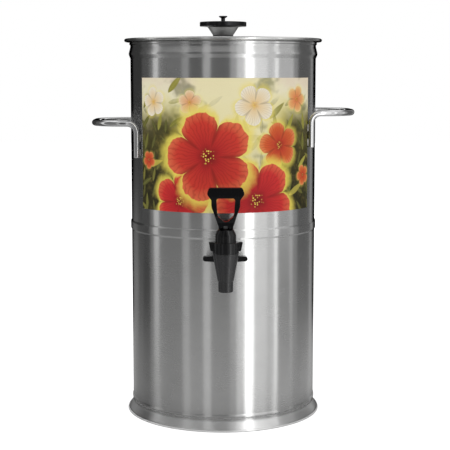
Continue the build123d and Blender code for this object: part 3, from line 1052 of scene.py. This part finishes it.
class WrappedLabel(ShapeGroup):
    """Wraps a film round the wall, with its print's coordinates."""

    COLUMNS, ROWS = 160, 40

    def __init__(self) -> None:
        """Builds the group, with the film's place on the wall and its thickness as named inputs."""
        sizes = ("Radius", "Low", "High", "Start", "End", "Thickness")
        super().__init__("WrappedLabel", dict.fromkeys(sizes, "Float"))
        given = self.given
        size = {"Size X": 1.0, "Size Y": 1.0, "Vertices X": self.COLUMNS + 1, "Vertices Y": self.ROWS + 1}
        grid = self.add("GeometryNodeMeshGrid", size)
        printed = {"Geometry": grid, "Name": "UVMap", "Value": grid.outputs["UV Map"]}
        stored = self.add("GeometryNodeStoreNamedAttribute", printed, data_type="FLOAT2", domain="CORNER")
        x, y, _ = self.split(self.add("GeometryNodeInputPosition"))
        angle = self.span(self.plus(x, 0.5), 0.0, 1.0, given["Start"], given["End"])
        wrapped = self.join(
            self.times(self.math("SINE", angle), given["Radius"]),
            self.times(self.math("COSINE", angle), given["Radius"], -1.0),
            self.span(self.plus(y, 0.5), 0.0, 1.0, given["Low"], given["High"]),
        )
        moved = self.add("GeometryNodeSetPosition", {"Geometry": stored, "Position": wrapped})
        raised = {"Mesh": moved, "Offset Scale": given["Thickness"], "Individual": False}
        both = self.add("GeometryNodeJoinGeometry", {0: self.add("GeometryNodeExtrudeMesh", raised)})
        self.feed(both.inputs[0], self.add("GeometryNodeFlipFaces", {0: moved}))
        merged = self.add("GeometryNodeMergeByDistance", {"Geometry": both, "Distance": 1e-6})
        self.close(merged, smooth=False)


@dataclass
class FrontLabel:
    """The printed film wrapped round the upper front, in millimetres and in degrees from the front.

    Attributes:
        thickness: the film's thickness.
        low: the height of its lower edge.
        high: the height of its upper edge.
        start: its left end.
        end: its right end.
        finish: the print.
    """

    thickness: float = 0.3
    low: float = 275.0
    high: float = 439.5
    start: float = -58.3
    end: float = 61.2
    finish: PrintedVinyl = PrintedVinyl()

    def build(self) -> None:
        """Wraps and places the film."""
        film = WrappedLabel().bake(
            "label_film", plain_mesh("label_seed", ()), Finish=self.finish.material(), Radius=WALL * MM,
            Low=self.low * MM, High=self.high * MM, Thickness=self.thickness * MM,
            Start=math.radians(self.start), End=math.radians(self.end),
        )
        place(film, Body.ROOT, Slot.LABEL, ["front_label"])


class BentRod(ShapeGroup):
    """Bends a rod along a path whose points carry the radius of their bend and the share of its thickness."""

    LAYERS = ("bend", "share")
    BEND_STEPS, SIDES = 14, 40

    def __init__(self) -> None:
        """Builds the group, with the rod's radius as its named input."""
        super().__init__("BentRod", {"Radius": "Float"})
        line = self.add("GeometryNodeMeshToCurve", {0: self.given["Geometry"]})
        bend, share = (
            self.add("GeometryNodeInputNamedAttribute", {"Name": name}, data_type="FLOAT")
            for name in self.LAYERS
        )
        corners = {"Curve": line, "Count": self.BEND_STEPS, "Radius": bend, "Limit Radius": True}
        bent = self.add("GeometryNodeFilletCurve", corners, mode="POLY")
        size = {"Resolution": self.SIDES, "Radius": self.given["Radius"]}
        circle = self.add("GeometryNodeCurvePrimitiveCircle", size)
        swept = {"Curve": bent, "Profile Curve": circle, "Scale": share, "Fill Caps": True}
        self.close(self.add("GeometryNodeCurveToMesh", swept))


class WeldRipples(ShapeGroup):
    """Lays the ripples of weld tacks along lines."""

    SMALLEST, LARGEST = (0.0012, 0.0012, 0.0010), (0.0015, 0.0015, 0.0013)

    def __init__(self) -> None:
        """Builds the group, with the distance between ripples as its named input."""
        super().__init__("WeldRipples", {"Step": "Float"})
        line = self.add("GeometryNodeMeshToCurve", {0: self.given["Geometry"]})
        laid = {"Curve": line, "Length": self.given["Step"]}
        spots = self.add("GeometryNodeCurveToPoints", laid, mode="LENGTH")
        ripple = self.add("GeometryNodeMeshIcoSphere", {"Radius": 1.0, "Subdivisions": 3})
        sizes = {0: self.SMALLEST, 1: self.LARGEST, "Seed": SEED}
        size = self.add("FunctionNodeRandomValue", sizes, data_type="FLOAT_VECTOR")
        ripples = {"Points": spots, "Instance": ripple, "Scale": size}
        self.close(self.add("GeometryNodeInstanceOnPoints", ripples))


class HandleShop:
    """What both side handles share: their node groups and their finishes."""

    def __init__(self) -> None:
        """Builds the groups and the finishes."""
        self.bending, self.welding = BentRod(), WeldRipples()
        self.polished = BrightSteel("rod_polished", (0.74, 0.74, 0.74), 0.10).material()
        self.welded = BrightSteel("weld_bright", (0.40, 0.38, 0.35), 0.32).material()


@dataclass
class SideHandle:
    """A bent rod with two legs tacked to the wall, in millimetres.

    Attributes:
        name: the CAD node that it stands for.
        side: -1 for the left one and 1 for the right one.
        height: the height of the grip's middle.
        rod: the rod's radius.
        spacing: the distance between the legs.
        tip: how far the grip's outside stands from the tank's axis.
        drop: how far the legs reach below the grip.
        leg_bend: the radius of the bends above the legs.
        corner_bend: the radius of the grip's corners.
        tack: the length of one weld tack.
        ripple: the distance between the ripples of a tack.
    """

    name: str
    side: int
    height: float
    rod: float = 3.97
    spacing: float = 114.3
    tip: float = 170.5
    drop: float = 43.5
    leg_bend: float = 12.0
    corner_bend: float = 43.0
    tack: float = 7.0
    ripple: float = 1.3

    # the foot's rounding as heights with shares of the thickness, and where the tacks lie beside a leg
    ROUNDED_FOOT = ((0.0, 0.80), (0.25, 0.93), (0.7, 0.99), (1.2, 1.0))
    BESIDE, OUTSIDE, MARGIN = 3.1, 0.4, 3.0

    def path(self) -> list[tuple[float, ...]]:
        """Lists the rod's corners from the foot of its front leg to that of its back leg.

        Returns:
            (x, y, z, bend radius, share of the thickness) of each corner, all but the share in metres.
        """
        half = self.spacing / 2
        leg = math.sqrt((WALL + self.rod) ** 2 - half ** 2)
        corners = [(leg, self.height - self.drop + rise, 0.0, share) for rise, share in self.ROUNDED_FOOT]
        corners.append((leg, self.height, self.leg_bend, 1.0))
        corners.append((self.tip - self.rod, self.height, self.corner_bend, 1.0))
        return [
            (self.side * out * MM, y * MM, up * MM, bend * MM, share)
            for y, way in ((-half, corners), (half, corners[::-1])) for out, up, bend, share in way
        ]

    def build(self, shop: HandleShop) -> None:
        """Bends the rod, tacks it on and places both.

        Args:
            shop: the node groups and finishes that both handles share.
        """
        corners = self.path()
        links = [(index, index + 1) for index in range(len(corners) - 1)]
        path = plain_mesh(self.name + "_path", [corner[:3] for corner in corners], links)
        for column, layer in enumerate(BentRod.LAYERS, 3):
            values = path.attributes.new(layer, "FLOAT", "POINT").data
            values.foreach_set("value", [corner[column] for corner in corners])
        rod = shop.bending.bake(self.name + "_rod", path, Radius=self.rod * MM, Finish=shop.polished)
        place(rod, Body.ROOT, Slot.ROD, [self.name])
        tacks = self.crevices()
        weld = shop.welding.bake(self.name + "_weld", tacks, Step=self.ripple * MM, Finish=shop.welded)
        place(weld, Body.ROOT, Slot.ROD)

    def crevices(self) -> Mesh:
        """Draws a line for each tack, in the crevices beside both ends of each leg.

        Returns:
            The lines.
        """
        angle = math.asin(self.spacing / 2 / (WALL + self.rod))
        headings = [leg * angle + way * self.BESIDE / WALL for leg in (-1, 1) for way in (-1, 1)]
        low, high = self.height - self.drop + self.MARGIN, self.height - self.leg_bend - self.MARGIN
        out = WALL + self.OUTSIDE
        points = [
            (self.side * out * math.cos(heading) * MM, out * math.sin(heading) * MM, height * MM)
            for heading in headings for height in (low, low + self.tack, high - self.tack, high)
        ]
        lines = [(index, index + 1) for index in range(0, len(points), 2)]
        return plain_mesh(self.name + "_tacks", points, lines)


@dataclass
class Lid:
    """The spun lid with its rolled edge, the turned knob and the vent plug, in millimetres.

    Attributes:
        radius: the lid's outer radius.
        sheet: its sheet's thickness.
        rim: the height of the tank's rim, on which it rests.
        crown: the height of its middle.
        groove: the height of its groove's underside.
        edge: the rounding of its rolled edge.
        knob: the heights of the knob's top, its disc's underside and its cone's foot.
        plug: the heights of the plug's top and its shoulder.
        finish: the lid's finish.
        knob_finish: the knob's and the plug's finish.
    """

    radius: float = 128.4
    sheet: float = 1.0
    rim: float = 485.0
    crown: float = 491.6
    groove: float = 478.2
    edge: float = 2.05
    knob: tuple[float, float, float] = (511.1, 505.2, 493.8)
    plug: tuple[float, float] = (518.8, 508.1)
    finish: SpunSteel = SpunSteel("lid_satin", (0.64, 0.64, 0.63), 0.25, 0.8, relief=0.000003)
    knob_finish: SpunSteel = SpunSteel(
        "knob_turned", (0.50, 0.50, 0.50), 0.30, 0.7, lines=1100.0, relief=0.000004, near_black_above=0.5044,
    )

    def lid_section(self) -> Section:
        """Works out the lid's section.

        Returns:
            The section, outwards along the top and inwards along the underside.
        """
        crown, sheet, rim, groove, out = self.crown, self.sheet, self.rim, self.groove, self.radius
        return Section([
            (6.6, crown, 0.2), (16, crown, 60), (90, crown - 1.4, 100), (106, crown - 2.4, 4),
            (109, groove + sheet, 3), (116.6, groove + sheet, 2.5), (116.6, rim + sheet, 2),
            (out - 6, rim + sheet, 0.3), (out - 6, rim + 4.2, 1.5), (out, rim + 4.2, self.edge),
            (out, rim, self.edge), (117.6, rim, 0.8), (117.6, groove, 3.4),
            (108.2, groove, 4), (105.3, crown - 3.4, 3), (90, crown - 2.4, 100),
            (16, crown - sheet, 60), (6.6, crown - sheet, 0.2),
        ])

    def knob_section(self) -> Section:
        """Works out the knob's section.

        Returns:
            The section, from its foot up the outside and down its bore.
        """
        top, disc, foot = self.knob
        return Section([
            (2.9, 481.6, 0.3), (6.5, 481.6, 0.5), (6.5, foot, 0.2), (12.9, foot, 0.5), (20.0, disc - 0.7, 2),
            (26.0, disc, 6), (30.3, disc, 0.9), (30.3, top, 0.9), (6.0, top, 0.3), (6.0, top - 3.0, 0.2),
            (2.9, top - 3.0, 0.3),
        ])

    def plug_section(self) -> Section:
        """Works out the vent plug's section.

        Returns:
            The section, from its foot to its top.
        """
        top, shoulder = self.plug
        return Section([
            (0, 486.0), (2.6, 486.0, 1.0), (2.6, shoulder, 0.1), (4.6, shoulder, 0.3),
            (4.6, shoulder + 1.5, 0.5), (2.6, shoulder + 1.5, 0.3), (2.6, top - 3, 0.3),
            (5.4, top - 1.2, 0.4), (5.4, top, 0.4), (0, top),
        ])

    def build(self, lathe: Lathe) -> None:
        """Turns and places the lid, the knob and the plug.

        Args:
            lathe: the shared lathe.
        """
        turned = self.knob_finish.material()
        lid = lathe.turn("lid_spinning", self.lid_section(), self.finish.material(), 320)
        knob = lathe.turn("knob_turning", self.knob_section(), turned, 160)
        plug = lathe.turn("plug_turning", self.plug_section(), turned, 64)
        place(lid, Body.LID, Slot.LID, ["lid_plate"])
        place(knob, Body.LID, Slot.KNOB, ["lid_knob"])
        place(plug, Body.PLUG, Slot.KNOB, ["vent_plug"])


@dataclass(frozen=True)
class Springy:
    """A piece of the valve that rides on the stem; the real piece shortens as the stem lifts, because its
    upper end stays under the bonnet, but this copy keeps its shape.

    Attributes:
        node: the CAD node whose shape it has at rest.
        name: the piece's name.
        slot: the material slot named for it; its finish comes from the material that build is given.
        low: the height of its lower end in metres, which lifts with the stem; not used.
        high: the height of its upper end in metres, which stays; not used.
        lift: the stem's travel in metres; not used.
    """

    node: str
    name: str
    slot: Slot
    low: float
    high: float
    lift: float = 0.0050265

    def build(self, material: Material) -> None:
        """Copies the node and dresses the copy.

        Args:
            material: the finish.
        """
        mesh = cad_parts[self.node].data.copy()
        mesh.name = self.name
        close_up(mesh)
        mesh.materials.clear()
        mesh.materials.append(material)
        piece = place(mesh, Body.STEM, self.slot, [self.node])
        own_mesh(piece)


class Fittings:
    """The tap and the small pieces that keep their CAD shapes, with their finishes."""

    BRIGHT = (0.62, 0.62, 0.61)
    FINISHES = {
        Moulding("plastic_black", (0.016, 0.016, 0.017), 0.27):
            ("shank", "shank_nut", "retaining_ring", "tap_body"),
        Moulding("plastic_cap", (0.004, 0.004, 0.0045), 0.13, edge=0.0009, gloss=0.32):
            ("tap_bonnet", "wing_nut"),
        Moulding("plastic_grip", (0.003, 0.003, 0.0035), 0.14, edge=0.0012, gloss=0.28):
            ("tap_handle",),
        Moulding("rubber_black", (0.02, 0.02, 0.02), 0.62, texture=0.00001):
            ("outer_gasket", "inner_gasket", "seat_washer", "knob_gasket"),
        BrightSteel("fastener_bright", BRIGHT, 0.22): ("knob_washer", "knob_nut", "shank_washer"),
        # the valve stem and its pin are painted dark, a painted shade for their place inside the handle's
        # fork and the bonnet; their higher roughness is a duller finish
        BrightSteel("fastener_dulled", (0.22, 0.22, 0.22), 0.35): ("valve_stem", "handle_pin"),
    }
    SPRINGY = {
        Moulding("rubber_cup", (0.78, 0.76, 0.70), 0.45, dust=(0.6, 0.57, 0.5), subsurface=0.3):
            Springy("seat_cup", "cup_rolling", Slot.CUP, 0.2074, 0.241),
        BrightSteel("coil_bright", BRIGHT, 0.22):
            Springy("closing_spring", "spring_winding", Slot.FASTENER, 0.2154, 0.255),
    }

    def build(self) -> None:
        """Assigns the finishes."""
        for finish, nodes in self.FINISHES.items():
            material = finish.material()
            for node in nodes:
                repaint(node, material)
        for finish, piece in self.SPRINGY.items():
            piece.build(finish.material())


@dataclass(frozen=True)
class Panel:
    """One studio panel in the ring round the object: an upright card with a leg along the floor.

    Attributes:
        end: the azimuth on the wall where its reflection ends and the next one's begins, in degrees from the
            front, + to the right.
        level: its brightness below the middle, 1 being white.
        top: its brightness above the middle.
        foot: the brightness of its leg along the floor.
    """

    end: float
    level: float
    top: float
    foot: float


@dataclass
class Studio:
    """The floor, the white surroundings, the ring of panels that the steel reflects, and the camera.

    Sizes are in metres and turns in degrees.

    Attributes:
        wall: the radius of the wall that reflects the ring.
        ring: the ring's radius.
        toe: how far from the axis the panels' legs begin.
        lift: how high the legs lie above the floor.
        high: the ring's height.
        crown: the panels' brightness at their upper end.
        ceiling: the brightness of the card on top.
        floor_size: the floor's width.
        contact: the distances from the axis between which the floor turns from dark, a painted contact
            shadow, to pale.
        ambient: the strength of the surroundings' light.
        lens: the camera's focal length in millimetres.
        distance: how far from the axis the camera stands.
        eye: the camera's height.
        azimuth: the camera's azimuth from the front, + to the right.
        pitch: the camera's turn up from straight down.
        yaw: the camera's turn about Z.
        first: the azimuth on the wall where the first panel's reflection begins.
        panels: the ring's panels in their order round the object.
    """

    wall: float = WALL * MM
    ring: float = 0.45
    toe: float = 0.13
    lift: float = 0.0006
    high: float = 1.3
    crown: float = 1.0
    ceiling: float = 0.3
    floor_size: float = 12.0
    contact: tuple[float, float] = (0.1262, 0.1285)
    ambient: float = 0.9
    lens: float = 95.54
    distance: float = 1.5734
    eye: float = 0.4466
    azimuth: float = -1.1
    pitch: float = 82.7
    yaw: float = -1.19
    first: float = -96
    panels: tuple[Panel, ...] = (
        Panel(-92.5, 0.95, 0.9, 0.6), Panel(-88, 0.3, 0.1, 0.3), Panel(-77, 0.0, 0.0, 0.4),
        Panel(-73.5, 0.24, 0.0, 0.4), Panel(-66, 0.26, 0.05, 0.3), Panel(-59, 0.13, 0.05, 0.3),
        Panel(-51, 0.05, 0.12, 0.28), Panel(-47.5, 0.28, 0.25, 0.42), Panel(-43, 0.66, 0.9, 0.6),
        Panel(-26, 0.26, 0.2, 0.42), Panel(-21.5, 0.58, 0.4, 0.64), Panel(-13, 0.36, 0.1, 0.52),
        Panel(-8.5, 0.7, 0.55, 0.74), Panel(3, 0.34, 0.12, 0.5), Panel(7, 0.5, 0.45, 0.56),
        Panel(12.2, 0.85, 0.85, 0.9), Panel(17.3, 2.6, 2.6, 2.4), Panel(26, 0.95, 1.15, 0.93),
        Panel(31, 0.72, 0.8, 0.72), Panel(33.4, 1.6, 1.6, 1.4), Panel(43, 0.25, 0.7, 0.62),
        Panel(45.5, 0.6, 0.8, 0.62), Panel(50, 0.3, 0.4, 0.5), Panel(66, 0.17, 0.14, 0.5),
        Panel(71, 0.4, 0.34, 0.6), Panel(74, 0.2, 0.0, 0.5), Panel(88, 0.0, 0.0, 0.45),
        Panel(92, 0.3, 0.1, 0.3), Panel(95, 0.95, 0.9, 0.6),
    )

    # the heights between which a panel's brightness changes, and how far and how much its leg is dimmed near
    # the object, a painted shade that the steel mirrors as the floor's shade round the base
    FOOT_CHANGE, MIDDLE_CHANGE, UPPER_CHANGE = (0.0, 0.06), (0.12, 0.3), (0.68, 0.78)
    DIM_REACH, DIM_SHARE = 0.06, 0.1
    CEILING_SIDES = 48
    # the floor's tone beneath the object, painted dark as a painted contact shadow, and beyond it, and how
    # far it glows there
    DARK, PALE, GLOW = (0.02, 0.02, 0.02), (0.86, 0.86, 0.86), 0.6

    def build(self) -> None:
        """Builds the studio and sets the scene's camera."""
        bpy.context.scene.view_settings.view_transform = "Standard"
        self._world()
        self._floor()
        start = self.first
        for index, panel in enumerate(self.panels):
            self._panel(f"panel_{index}", start, panel)
            start = panel.end
        turns = [math.tau * step / self.CEILING_SIDES for step in range(self.CEILING_SIDES)]
        rim = [(self.ring * math.cos(turn), self.ring * math.sin(turn), self.high) for turn in turns]
        graph, strength = self._card("ceiling", rim, [range(self.CEILING_SIDES)])
        graph.feed(strength, self.ceiling)
        self._camera()

    def _world(self) -> None:
        """Makes surroundings that look white and light the object at a plain level."""
        world = bpy.data.worlds.new("surroundings")
        graph = Graph(emptied(world))
        level = graph.span(self._seen(graph), 0.0, 1.0, self.ambient, 1.0)
        light = graph.add("ShaderNodeBackground", {"Color": WHITE, "Strength": level})
        graph.add("ShaderNodeOutputWorld", {"Surface": light})
        bpy.context.scene.world = world

    @staticmethod
    def _seen(graph: Graph) -> Socket:
        """Tells the rays that see the background, straight or mirrored, from those that only light.

        Args:
            graph: the graph of a world or a material.

        Returns:
            1 for a ray that sees and 0 for one that lights.
        """
        rays = graph.add("ShaderNodeLightPath").outputs
        seen = graph.math("ADD", rays["Is Camera Ray"], rays["Is Glossy Ray"], clamp=True)
        return graph.math("ADD", seen, rays["Is Transmission Ray"], clamp=True)

    def _floor(self) -> None:
        """Lays a pale floor that keeps the object's shadow and looks white beyond it, with a painted contact
        shadow: painted dark beneath the object and in a thin ring round the hem.
        """
        half = self.floor_size / 2
        mesh = plain_mesh("floor", [(-half, -half, 0), (half, -half, 0), (half, half, 0), (-half, half, 0)],
                          faces=[(0, 1, 2, 3)])
        floor = stand("floor", mesh)
        material = bpy.data.materials.new("floor_white")
        graph = Graph(emptied(material))
        # painted contact shadow: the floor's colour is dark and its glow is held back beneath the object and
        # just round the hem
        open_floor = graph.span(graph.radius(), *self.contact)
        tone = graph.blend(open_floor, self.DARK, self.PALE)
        paper = graph.add("ShaderNodeBsdfDiffuse", {"Color": tone})
        glow = graph.times(self._seen(graph), open_floor, self.GLOW)
        lift = graph.add("ShaderNodeEmission", {"Color": WHITE, "Strength": glow})
        both = graph.add("ShaderNodeAddShader", {0: paper, 1: lift})
        graph.add("ShaderNodeOutputMaterial", {"Surface": both})
        mesh.materials.append(material)

    def _mirrored(self, near: float) -> float:
        """Finds what the camera sees mirrored in the wall.

        Args:
            near: an azimuth on the wall, in radians.

        Returns:
            The azimuth on the ring that shows there, in radians.
        """
        azimuth = math.radians(self.azimuth)
        across = self.distance * math.sin(azimuth) - self.wall * math.sin(near)
        away = self.distance * math.cos(azimuth) - self.wall * math.cos(near)
        heading = 2 * near - math.atan2(across, away)
        return heading - math.asin(self.wall * math.sin(heading - near) / self.ring)

    def _panel(self, name: str, start: float, panel: Panel) -> None:
        """Stands one panel of the ring.

        Args:
            name: the panel's name.
            start: the azimuth on the wall where its reflection begins, in degrees.
            panel: its end and its brightness.
        """
        steps = max(1, math.ceil((panel.end - start) / 2))
        points, faces = [], []
        for step in range(steps + 1):
            near = math.radians(start + (panel.end - start) * step / steps)
            far = self._mirrored(near)
            fold = ((near, self.toe, self.lift), (far, self.ring, self.lift), (far, self.ring, self.high))
            points += [(out * math.sin(angle), -out * math.cos(angle), height) for angle, out, height in fold]
        for spot in range(0, 3 * steps, 3):
            faces += [(corner, corner + 3, corner + 4, corner + 1) for corner in (spot, spot + 1)]
        graph, strength = self._card(name, points, faces)
        height = graph.split(graph.add("ShaderNodeNewGeometry"))[2]
        level = graph.plus(
            graph.span(height, *self.FOOT_CHANGE, panel.foot, panel.level),
            graph.span(height, *self.MIDDLE_CHANGE, 0.0, panel.top - panel.level),
            graph.span(height, *self.UPPER_CHANGE, 0.0, self.crown - panel.top),
        )
        end = self.toe + self.DIM_REACH
        # painted shade: the legs are dimmed near the object so that the hem and the beads mirror a dark floor
        # there
        painted_toe_shade = graph.span(graph.radius(), self.toe, end, self.DIM_SHARE, 1.0, smooth=True)
        graph.feed(strength, graph.times(level, painted_toe_shade))

    @staticmethod
    def _card(name: str, points: Sequence, faces: Sequence) -> tuple[Graph, Socket]:
        """Makes a glowing card of the stage that only the gloss of steel and plastic can see.

        Args:
            name: the card's name.
            points: its points in metres.
            faces: its faces.

        Returns:
            Its material's graph and the input for its brightness.
        """
        mesh = plain_mesh(name, points, faces=faces)
        card = stand(name, mesh)
        material = bpy.data.materials.new(name)
        graph = Graph(emptied(material))
        glow = graph.add("ShaderNodeEmission", {"Color": WHITE})
        graph.add("ShaderNodeOutputMaterial", {"Surface": glow})
        mesh.materials.append(material)
        card.visible_camera = card.visible_diffuse = card.visible_shadow = False
        return graph, glow.inputs["Strength"]

    def _camera(self) -> None:
        """Stands the camera at the photograph's viewing angle."""
        data = bpy.data.cameras.new("camera")
        data.sensor_width, data.lens = 36.0, self.lens
        camera = stand("camera", data)
        angle = math.radians(self.azimuth)
        camera.location = (math.sin(angle) * self.distance, -math.cos(angle) * self.distance, self.eye)
        camera.rotation_euler = (math.radians(self.pitch), 0.0, math.radians(self.yaw))
        bpy.context.scene.camera = camera


def main() -> None:
    """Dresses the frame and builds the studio."""
    logging.basicConfig(level=logging.INFO, format="%(name)s %(message)s")
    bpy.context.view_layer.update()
    lathe = Lathe()
    Studio().build()
    Tank().build(lathe)
    FrontLabel().build()
    shop = HandleShop()
    for handle in (SideHandle("left_handle", -1, 382.0), SideHandle("right_handle", 1, 395.0)):
        handle.build(shop)
    Lid().build(lathe)
    Fittings().build()


if __name__ == "__main__":
    main()
